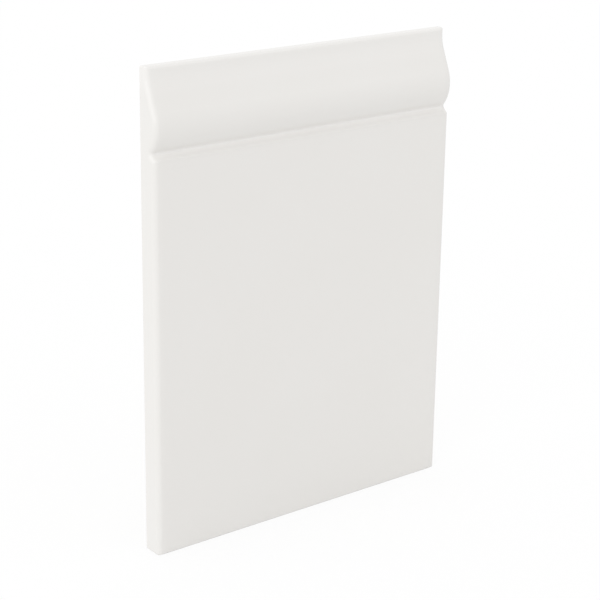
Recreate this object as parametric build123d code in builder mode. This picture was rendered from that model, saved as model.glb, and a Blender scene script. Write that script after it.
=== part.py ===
from build123d import *

import os
from math import acos, cos, degrees, radians, sin

# Wall base trim: one pressed and glazed ceramic piece that covers the foot of a tiled wall.
# Millimetres, +Z up. It is fixed by its back, which lies in the plane Y = 0, and it shows towards -Y.
# The origin is where the wall meets the floor, at the middle of the piece's length.

# Overall sizes
length = 150.0
height = 200.0

# Thickness of the flat plinth and of the upright lip along the top
plinth_thickness = 9.2
lip_thickness = 4.4
lip_height = 2.5

# Ogee between the lip and the bead: a hollow cove, then a straight slope that leans out of upright
cove_radius = 16.0
ogee_lean = 23.0

# Bead at the foot of the ogee, and how far it stands out past the plinth's face
bead_radius = 15.0
bead_projection = 1.2

# Quirk: the sharp groove under the bead, cut in behind the plinth's face
quirk_depth = 2.7
quirk_root_radius = 0.5
quirk_flare = 48.0

# Rounding of the arrises under the glaze: along the piece, and fuller around its two butting ends
arris_radius = 1.0
end_radius = 1.8

# Keys for the adhesive: shallow cells pressed into the back, with ribs between them
key_depth = 0.8
key_margin = 7.0
key_pitch = 27.0
key_rib = 4.0
key_corner_radius = 2.5

# The slope is as long as it must be to bring the ogee from the lip out to the bead
bead_thickness = plinth_thickness + bead_projection
curved_reach = (cove_radius + bead_radius) * (1 - cos(radians(ogee_lean)))
slope_length = (bead_thickness - lip_thickness - curved_reach) / sin(radians(ogee_lean))

# Below its crown the bead turns inwards until it reaches the root of the quirk
quirk_thickness = plinth_thickness - quirk_depth
bead_undercut = degrees(acos(1 - (bead_thickness - quirk_thickness) / bead_radius))

# Whole keys that fit inside the margin, each way
key_size = key_pitch - key_rib
key_columns = int((length - 2 * key_margin + key_rib) // key_pitch)
key_rows = int((height - 2 * key_margin + key_rib) // key_pitch)

# On the section local X is +Y and local Y is +Z, so this is the direction straight down, in degrees
downwards = 270.0

with BuildPart() as base_trim:
    # The section is drawn from the top of the lip down the face that shows, then round the back
    with BuildSketch(Plane.YZ) as section:
        with BuildLine():
            lip = PolarLine((-lip_thickness, height), lip_height, downwards)
            cove = JernArc(lip @ 1, lip % 1, cove_radius, -ogee_lean)
            slope = PolarLine(cove @ 1, slope_length, direction=cove % 1)
            bead = JernArc(slope @ 1, slope % 1, bead_radius, ogee_lean + bead_undercut)
            flare_angle = downwards - quirk_flare
            flare = PolarLine(bead @ 1, quirk_depth, flare_angle, length_mode=LengthMode.HORIZONTAL)
            Polyline(flare @ 1, (-plinth_thickness, 0), (0, 0), (0, height), lip @ 0)
        make_face()
        fillet(section.vertices().sort_by_distance(bead @ 1)[0], quirk_root_radius)
    extrude(amount=length / 2, both=True)

    # The upright faces, from the room to the wall
    plinth_face, lip_face, _ = base_trim.faces().filter_by(Axis.Y).sort_by(Axis.Y)

    # The plinth is rounded along its top and its foot, and the lip along its top
    plinth_arrises = plinth_face.edges().filter_by(Axis.X)
    lip_arris = lip_face.edges().sort_by(Axis.Z)[-1:]
    fillet(plinth_arrises + lip_arris, arris_radius)

    # Both ends are rounded all the way round, except where they meet the wall
    end_arrises = base_trim.faces().filter_by(Axis.X).edges()
    wall_face = base_trim.faces().sort_by(Axis.Y)[-1]
    fillet(end_arrises - wall_face.edges(), end_radius)

    # The keys lie in a grid about the middle of the back
    with BuildSketch(Plane.XZ):
        with Locations((0, height / 2)):
            with GridLocations(key_pitch, key_pitch, key_columns, key_rows):
                RectangleRounded(key_size, key_size, key_corner_radius)
    extrude(amount=key_depth, mode=Mode.SUBTRACT)

base_trim.part.label = "base_trim"

os.makedirs("parts", exist_ok=True)
export_step(base_trim.part, "parts/base_trim.step")
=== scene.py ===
from math import acos, cos, pi, radians, sin, tan

import bmesh
import bpy
from mathutils import Matrix, Vector


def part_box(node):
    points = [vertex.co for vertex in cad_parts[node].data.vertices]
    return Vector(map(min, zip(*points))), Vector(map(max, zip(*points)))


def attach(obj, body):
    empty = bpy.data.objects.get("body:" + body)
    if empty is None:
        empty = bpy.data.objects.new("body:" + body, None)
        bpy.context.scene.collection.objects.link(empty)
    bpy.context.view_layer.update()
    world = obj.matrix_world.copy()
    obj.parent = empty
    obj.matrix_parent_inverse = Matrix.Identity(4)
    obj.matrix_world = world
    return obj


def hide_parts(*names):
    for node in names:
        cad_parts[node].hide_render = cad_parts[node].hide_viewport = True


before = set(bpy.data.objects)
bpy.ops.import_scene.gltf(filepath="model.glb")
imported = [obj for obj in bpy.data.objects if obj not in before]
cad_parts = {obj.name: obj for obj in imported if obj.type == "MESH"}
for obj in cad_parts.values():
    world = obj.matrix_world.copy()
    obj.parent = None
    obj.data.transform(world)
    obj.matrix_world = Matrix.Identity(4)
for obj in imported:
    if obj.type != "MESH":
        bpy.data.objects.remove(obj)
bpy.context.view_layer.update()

# Base trim: one dust-pressed ceramic tile that covers the foot of a tiled wall. The ogee and bead along
# its top are pressed in one with the flat plinth, and a gloss glaze is fired over all but its back.
# It is glued up by that back, where shallow keys give the adhesive a grip.
cad_low, cad_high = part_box("base_trim")
length = cad_high.x - cad_low.x
height = cad_high.z - cad_low.z
half_length = length / 2

plinth_thickness = 0.0092
lip_thickness = 0.0044
lip_height = 0.0025
cove_radius = 0.016
ogee_lean = radians(23)
bead_radius = 0.015
bead_projection = 0.0012
quirk_depth = 0.0027
quirk_root_radius = 0.0009
quirk_flare = radians(48)

# Facets round each hollow or round of the moulding
cove_steps = 12
bead_steps = 18
quirk_steps = 6

# The slope of the ogee runs straight from the cove to the bead, and the bead turns in to the quirk's root
bead_thickness = plinth_thickness + bead_projection
curved_reach = (cove_radius + bead_radius) * (1 - cos(ogee_lean))
slope_length = (bead_thickness - lip_thickness - curved_reach) / sin(ogee_lean)
quirk_thickness = plinth_thickness - quirk_depth
bead_undercut = acos(1 - (bead_thickness - quirk_thickness) / bead_radius)

# Heights of the centres that the cove and the bead are struck from, and of the quirk
cove_height = height - lip_height
slope_top = cove_height - cove_radius * sin(ogee_lean)
slope_foot = slope_top - slope_length * cos(ogee_lean)
bead_height = slope_foot - bead_radius * sin(ogee_lean)
quirk_height = bead_height - bead_radius * sin(bead_undercut)
plinth_height = quirk_height - quirk_depth / tan(quirk_flare)

# Values that differ by less than the slack count as the same, and corners this near are joined as one
slack = 1e-5
weld_distance = 1e-6


def middle(element):
    """The middle of an edge or a face."""
    corners = [corner.co for corner in element.verts]
    return sum(corners, Vector()) / len(corners)


def near(a, b):
    return abs(a - b) < slack


def pick(kind, wanted):
    """Select just the verts, edges or faces of the mesh being edited that are wanted."""
    mesh = bpy.context.object.data
    bpy.ops.mesh.select_mode(type=kind)
    bpy.ops.mesh.select_all(action="DESELECT")
    form = bmesh.from_edit_mesh(mesh)
    for element in {"VERT": form.verts, "EDGE": form.edges, "FACE": form.faces}[kind]:
        if wanted(element):
            element.select_set(True)
    form.select_flush_mode()
    bmesh.update_edit_mesh(mesh)


def draw_on(out, up):
    """Carry the skin's last edge on by this much, out from the wall and up from the floor."""
    bpy.ops.mesh.extrude_region_move(TRANSFORM_OT_translate={"value": (0, -out, up)})


# The skin starts as the lip's narrow face, and its lower edge is carried on down the moulding
bpy.ops.object.select_all(action="DESELECT")
bpy.ops.object.add(type="MESH", enter_editmode=True)
tile = bpy.context.object
tile.name = "base_trim_tile"
lip_middle = (0, -lip_thickness, height - lip_height / 2)
bpy.ops.mesh.primitive_plane_add(size=length, location=lip_middle, rotation=(pi / 2, 0, 0))
bpy.ops.transform.resize(value=(1, 1, lip_height / length), center_override=lip_middle)
pick("EDGE", lambda edge: near(middle(edge).z, cove_height))
cove_centre = (0, -lip_thickness - cove_radius, cove_height)
bpy.ops.mesh.spin(steps=cove_steps, angle=ogee_lean, center=cove_centre, axis=(1, 0, 0))
draw_on(slope_length * sin(ogee_lean), -slope_length * cos(ogee_lean))
bead_centre = (0, bead_radius - bead_thickness, bead_height)
bead_turn = ogee_lean + bead_undercut
bpy.ops.mesh.spin(steps=bead_steps, angle=bead_turn, center=bead_centre, axis=(-1, 0, 0))
draw_on(quirk_depth, plinth_height - quirk_height)

# It goes on down the plinth, under the foot, up the back and over the top, and closes on the lip
draw_on(0, -plinth_height)
draw_on(-plinth_thickness, 0)
draw_on(0, height)
draw_on(lip_thickness, 0)
bpy.ops.mesh.select_all(action="SELECT")
bpy.ops.mesh.remove_doubles(threshold=weld_distance)
bpy.ops.mesh.fill_holes(sides=0)
bpy.ops.mesh.normals_make_consistent(inside=False)

# The glaze that gathers in the quirk leaves its root a small round
quirk_turn = bead_undercut + quirk_flare
pick("EDGE", lambda edge: near(middle(edge).y, -quirk_thickness) and near(middle(edge).z, quirk_height))
bpy.ops.mesh.bevel(offset=quirk_root_radius * tan(quirk_turn / 2), segments=quirk_steps, profile=0.5)


def in_front(corner):
    """On the side that shows, well clear of the back."""
    return corner.y < -lip_thickness / 2


# Pressing and glazing leave the face falling away softly towards both ends
end_radius = 0.0022
fall_reach = 0.0055
fall_depth = 0.00025
fall_steps = 6
fall_places = [fall_reach - (fall_reach - end_radius) * step / fall_steps for step in range(fall_steps)]
for distance in fall_places:
    for side in (-1, 1):
        bpy.ops.mesh.select_all(action="SELECT")
        bpy.ops.mesh.bisect(plane_co=(side * (half_length - distance), 0, 0), plane_no=(1, 0, 0))
for distance in fall_places + [0]:
    fall = fall_depth * (1 - distance / fall_reach) ** 2
    across = half_length - distance
    pick("VERT", lambda vert: near(abs(vert.co.x), across) and in_front(vert.co))
    bpy.ops.transform.translate(value=(0, fall, 0))

# Square keys with round corners are pressed into the back, in a grid with ribs between them
key_depth = 0.0008
key_margin = 0.007
key_pitch = 0.027
key_rib = 0.004
key_corner_radius = 0.0025
key_rim_radius = 0.0003
key_floor_radius = 0.0004
key_corner_steps = 6
fine_steps = 3
key_columns = int((length - 2 * key_margin + key_rib) // key_pitch)
key_rows = int((height - 2 * key_margin + key_rib) // key_pitch)
grid_half_length = key_columns * key_pitch / 2
grid_half_height = key_rows * key_pitch / 2


def lies_on_back(face):
    return near(face.normal.y, 1)


def in_key_grid(face):
    """A square of the back that is to be pressed in."""
    centre = middle(face)
    off_middle = abs(centre.z - height / 2)
    return lies_on_back(face) and abs(centre.x) < grid_half_length and off_middle < grid_half_height


for column in range(key_columns + 1):
    across = column * key_pitch - grid_half_length
    pick("FACE", lies_on_back)
    bpy.ops.mesh.bisect(plane_co=(across, 0, 0), plane_no=(1, 0, 0))
for row in range(key_rows + 1):
    up = height / 2 + row * key_pitch - grid_half_height
    pick("FACE", lies_on_back)
    bpy.ops.mesh.bisect(plane_co=(0, 0, up), plane_no=(0, 0, 1))
pick("FACE", in_key_grid)
bpy.ops.mesh.inset(thickness=key_rib / 2, use_individual=True)
bpy.ops.mesh.extrude_region_move(TRANSFORM_OT_translate={"value": (0, -key_depth, 0)})
pick("EDGE", lambda edge: near(middle(edge).y, -key_depth / 2))
bpy.ops.mesh.bevel(offset=key_corner_radius, segments=key_corner_steps, profile=0.5)


def both(edge, test):
    return test(edge.verts[0].co) and test(edge.verts[1].co)


def is_key_wall(face):
    return near(face.normal.y, 0) and middle(face).y > -key_depth


def bounds_key_wall(edge, depth):
    """An edge of a key's wall that lies at this depth in the back."""
    at_depth = both(edge, lambda corner: near(corner.y, -depth))
    return at_depth and any(is_key_wall(face) for face in edge.link_faces)


# Pressing leaves a fine round along the rims and the floors of the keys
for depth, radius in ((0, key_rim_radius), (key_depth, key_floor_radius)):
    pick("EDGE", lambda edge: bounds_key_wall(edge, depth))
    bpy.ops.mesh.bevel(offset=radius, segments=fine_steps, profile=0.5)

# The arrises under the glaze: fullest down the ends, and finer along the piece and over its ends' thickness
arris_radius = 0.001
lip_arris_radius = 0.0012
across_radius = 0.0007
rounding_steps = 8


def weigh(radius, wanted):
    """Give the wanted edges this radius, as a share of the widest, which is down the ends."""
    pick("EDGE", wanted)
    bpy.ops.transform.edge_bevelweight(value=radius / end_radius)


def at_wall(corner):
    return near(corner.y, 0)


def at_end(corner):
    return near(abs(corner.x), half_length)


def along_front(edge):
    return both(edge, in_front) and not both(edge, at_end)


def along_height(edge, level):
    return both(edge, lambda corner: near(corner.z, level)) and along_front(edge)


def across_an_end(edge):
    return both(edge, at_end) and near(edge.verts[0].co.z, edge.verts[1].co.z)


def down_an_end(edge):
    return both(edge, at_end) and not (both(edge, at_wall) or across_an_end(edge))


weigh(end_radius, down_an_end)
weigh(across_radius, across_an_end)
weigh(arris_radius, lambda edge: along_height(edge, 0))
weigh(lip_arris_radius, lambda edge: along_height(edge, height))
weigh(arris_radius * tan(quirk_flare / 2), lambda edge: along_height(edge, plinth_height))
bpy.ops.object.mode_set(mode="OBJECT")
bpy.ops.object.modifier_add(type="BEVEL")
rounding = tile.modifiers[-1]
rounding.limit_method = "WEIGHT"
rounding.width = end_radius
rounding.segments = rounding_steps
rounding.use_clamp_overlap = False
bpy.ops.object.modifier_apply(modifier=rounding.name)

# The arris all round the back is only just off. It lies between the back and a face turned well off it.
back_arris_radius = 0.00025
well_turned = radians(60)


def round_the_back(edge):
    """An edge of the back's outline, where it meets the foot, the top or an end."""
    return both(edge, at_wall) and any(face.normal.y < cos(well_turned) for face in edge.link_faces)


bpy.ops.object.mode_set(mode="EDIT")
pick("EDGE", round_the_back)
bpy.ops.mesh.bevel(offset=back_arris_radius, segments=fine_steps, profile=0.5)
bpy.ops.object.mode_set(mode="OBJECT")

# The rounds are shaded smooth and run into the flats, which are kept flat
smooth_below = radians(40)
bpy.ops.object.shade_smooth_by_angle(angle=smooth_below)
bpy.ops.object.modifier_add(type="WEIGHTED_NORMAL")
flats = tile.modifiers[-1]
flats.keep_sharp = True
bpy.ops.object.modifier_apply(modifier=flats.name)


class Signal:
    """A value in a shader, so that sums on it are written as plain Python."""

    def __init__(self, shader, socket):
        self.shader = shader
        self.socket = socket

    def output(self, name):
        """Another output of the node that this value comes from."""
        return Signal(self.shader, self.socket.node.outputs[name])

    def math(self, operation, *values):
        return self.shader.add("ShaderNodeMath", {"operation": operation}, dict(enumerate(values)))

    def __add__(self, other):
        return self.math("ADD", self, other)

    __radd__ = __add__

    def __sub__(self, other):
        return self.math("SUBTRACT", self, other)

    def __rsub__(self, other):
        return self.math("SUBTRACT", other, self)

    def __mul__(self, other):
        return self.math("MULTIPLY", self, other)

    __rmul__ = __mul__

    def __abs__(self):
        return self.math("ABSOLUTE", self)

    def least(self, other):
        return self.math("MINIMUM", self, other)

    def step_up(self, start, end):
        """A soft step from 0 at start to 1 at end."""
        settings = {"interpolation_type": "SMOOTHSTEP"}
        return self.shader.add("ShaderNodeMapRange", settings, {0: self, 1: start, 2: end})


class Shader:
    """The node tree of a material or of the world."""

    def __init__(self, owner):
        owner.use_nodes = True
        self.tree = owner.node_tree
        self.tree.nodes.clear()

    def add(self, kind, settings=None, inputs=None, output=0):
        """Add a node: its settings are made first, then its sockets get their values or links."""
        node = self.tree.nodes.new(kind)
        for name, value in (settings or {}).items():
            setattr(node, name, value)
        for name, value in (inputs or {}).items():
            if isinstance(value, Signal):
                self.tree.links.new(value.socket, node.inputs[name])
            else:
                node.inputs[name].default_value = value
        return Signal(self, node.outputs[output]) if node.outputs else node

    def blend(self, share, first, second):
        """A colour that goes from the first to the second as the share goes from 0 to 1."""
        settings = {"data_type": "RGBA"}
        return self.add("ShaderNodeMix", settings, {0: share, 6: first, 7: second}, output=2)


# White gloss glaze, opaque and level, over an off-white pressed body that is left bare on the back
glaze_white = (0.845, 0.83, 0.807, 1)
glaze_clouded = (0.83, 0.812, 0.782, 1)
# Painted light and painted shade: a lighter white for the quirk, the cove and the lip, and a darker one for
# the plinth's arris
glaze_painted_lighter = (0.9, 0.884, 0.861, 1)
glaze_painted_darker = (0.815, 0.798, 0.771, 1)
bisque_cream = (0.79, 0.745, 0.665, 1)
bisque_shade = (0.71, 0.66, 0.575, 1)
glaze_roughness = 0.12
bisque_roughness = 0.85

glazed_body = bpy.data.materials.new("white_glaze_on_pressed_body")
coating = Shader(glazed_body)
place = coating.add("ShaderNodeTexCoord", output="Object")
along = coating.add("ShaderNodeSeparateXYZ", inputs={0: place})
inwards = along.output("Y")
above_floor = along.output("Z")
from_end = half_length - abs(along)


def noise(scale, detail=2.0):
    return coating.add("ShaderNodeTexNoise", inputs={"Vector": place, "Scale": scale, "Detail": detail})


# The glaze runs a millimetre or so on to the back, and stops there in a wandering line
wrap = 0.0011
wander = 0.0012
wander_scale = 160
line_blur = 0.00015
from_outline = from_end.least(above_floor).least(height - above_floor)
glaze_line = wrap + (noise(wander_scale) - 0.5) * wander
inside_line = (from_outline - glaze_line).step_up(-line_blur, line_blur)

# Bare body shows from the back's face down to the floors of the keys
bare_blur = 0.0002
bare_depth = key_depth + bare_blur
on_back = inwards.step_up(-bare_depth - bare_blur, -bare_depth)
bare = inside_line * on_back

# Painted light: the glaze is made whiter in the quirk, to lift the quirk's shade, and painted shade: it is
# made darker over the plinth's arris just below, to dull its highlight. Both fade out towards the ends, and
# behind the root of the quirk.
painted_light_reach = 0.0016
painted_shade_reach = 0.0016
end_fade = (0.001, 0.0035)
front_fade = (quirk_thickness - 0.0008, quirk_thickness - 0.0002)
off_ends = from_end.step_up(*end_fade) * (0 - inwards).step_up(*front_fade)
painted_light_mask = (1 - abs(above_floor - quirk_height).step_up(0, painted_light_reach)) * off_ends
painted_shade_mask = (1 - abs(above_floor - plinth_height).step_up(0, painted_shade_reach)) * off_ends

# Painted light: from the hollow of the cove up over the lip the glaze is made a little whiter, so the top
# reads lighter
cove_painted_light = 0.45
cove_light_reach = 0.004
painted_light_mask = painted_light_mask + above_floor.step_up(slope_top - cove_light_reach, cove_height) * cove_painted_light

# Faint clouds in the glaze, and patches with finer specks in the bare body
cloud_scale = 22
patch_scale = 60
patch_detail = 6.0
speck_scale = 1400
speck_detail = 3.0
speck_share = 0.4
glaze = coating.blend(noise(cloud_scale), glaze_white, glaze_clouded)
# Painted shade over the plinth's arris, then painted light in the quirk, the cove and over the lip
glaze = coating.blend(painted_shade_mask, glaze, glaze_painted_darker)
glaze = coating.blend(painted_light_mask, glaze, glaze_painted_lighter)
patches = noise(patch_scale, patch_detail) * (1 - speck_share)
specks = noise(speck_scale, speck_detail) * speck_share
bisque = coating.blend(patches + specks, bisque_cream, bisque_shade)

# The glaze lies in very low waves, and the bare body has a fine grain
glaze_wave = 0.000012
glaze_wave_scale = 170
bisque_grain = 0.00006
bisque_grain_scale = 2600
bisque_grain_detail = 4.0
waves = noise(glaze_wave_scale) * glaze_wave * (1 - bare)
grain = noise(bisque_grain_scale, bisque_grain_detail) * bisque_grain * bare
surface = coating.add(
    "ShaderNodeBsdfPrincipled",
    inputs={
        "Base Color": coating.blend(bare, glaze, bisque),
        "Roughness": glaze_roughness + bare * (bisque_roughness - glaze_roughness),
        "Normal": coating.add("ShaderNodeBump", inputs={"Height": waves + grain, "Distance": 1.0}),
    },
)
coating.add("ShaderNodeOutputMaterial", inputs={"Surface": surface})
tile.data.materials.append(glazed_body)

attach(tile, "root")
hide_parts("base_trim")

# The studio: a white floor that runs out of sight, with white all round it. Both look white to the
# camera and in reflections, and the floor keeps a share of its own shade there, for the piece's shadow.
# Where they only light the piece, the floor is a pale grey paper and the room is a little dimmer.
floor_size = 12
floor_white = 0.86
room_light = 0.917
pure_white = (1, 1, 1, 1)
paper_grey = (0.84, 0.84, 0.84, 1)


def shown_share(shader):
    """1 where the camera or a reflection sees this, and 0 where it only lights the piece."""
    rays = shader.add("ShaderNodeLightPath", output="Is Camera Ray")
    return (rays + rays.output("Is Glossy Ray") + rays.output("Is Transmission Ray")).least(1.0)


bpy.ops.mesh.primitive_plane_add(size=floor_size)
floor = bpy.context.object
floor.name = "studio_floor"
floor_paper = bpy.data.materials.new("floor_paper")
covering = Shader(floor_paper)
shown = shown_share(covering)
paper_colour = covering.blend(shown, paper_grey, pure_white)
paper_settings = {"Base Color": paper_colour, "Roughness": 1.0, "Specular IOR Level": 0.0}
paper = covering.add("ShaderNodeBsdfPrincipled", inputs=paper_settings)
plain_white = covering.add("ShaderNodeEmission", inputs={"Color": pure_white, "Strength": 1.0})
floor_mix = {0: shown * floor_white, 1: paper, 2: plain_white}
floor_surface = covering.add("ShaderNodeMixShader", inputs=floor_mix)
covering.add("ShaderNodeOutputMaterial", inputs={"Surface": floor_surface})
floor.data.materials.append(floor_paper)

world = bpy.data.worlds.new("studio_white")
bpy.context.scene.world = world
room = Shader(world)
room_strength = room_light + (1 - room_light) * shown_share(room)
backdrop = room.add("ShaderNodeBackground", inputs={"Color": pure_white, "Strength": room_strength})
room.add("ShaderNodeOutputWorld", inputs={"Surface": backdrop})

# One very wide soft lamp, low on the left and slightly cool, lifts the end face and the arrises a little
lamp_bearing = radians(72)
lamp_rise = radians(22)
lamp_width = radians(60)
lamp_level = 0.22
lamp_colour = (0.965, 0.98, 1)
lamp_way = Vector((-sin(lamp_bearing) * cos(lamp_rise), -cos(lamp_bearing) * cos(lamp_rise), sin(lamp_rise)))
bpy.ops.object.light_add(type="SUN", rotation=lamp_way.to_track_quat("Z", "Y").to_euler())
lamp = bpy.context.object
lamp.name = "soft_lamp"
lamp.data.angle = lamp_width
lamp.data.energy = lamp_level * pi
lamp.data.color = lamp_colour

# The camera stands to the left of the piece and looks down on it through a long lens
camera_place = (-0.4295, -0.5506, 0.3317)
camera_yaw = radians(38.15)
camera_pitch = radians(18.9)
camera_roll = radians(0.85)
camera_lens = 106.1
camera_near_clip = 0.01
camera_turn = (
    Matrix.Rotation(-camera_yaw, 3, "Z")
    @ Matrix.Rotation(pi / 2 - camera_pitch, 3, "X")
    @ Matrix.Rotation(camera_roll, 3, "Z")
)
bpy.ops.object.camera_add(location=camera_place, rotation=camera_turn.to_euler())
camera = bpy.context.object
camera.data.lens = camera_lens
camera.data.clip_start = camera_near_clip
bpy.context.scene.camera = camera
bpy.context.scene.view_settings.view_transform = "Standard"
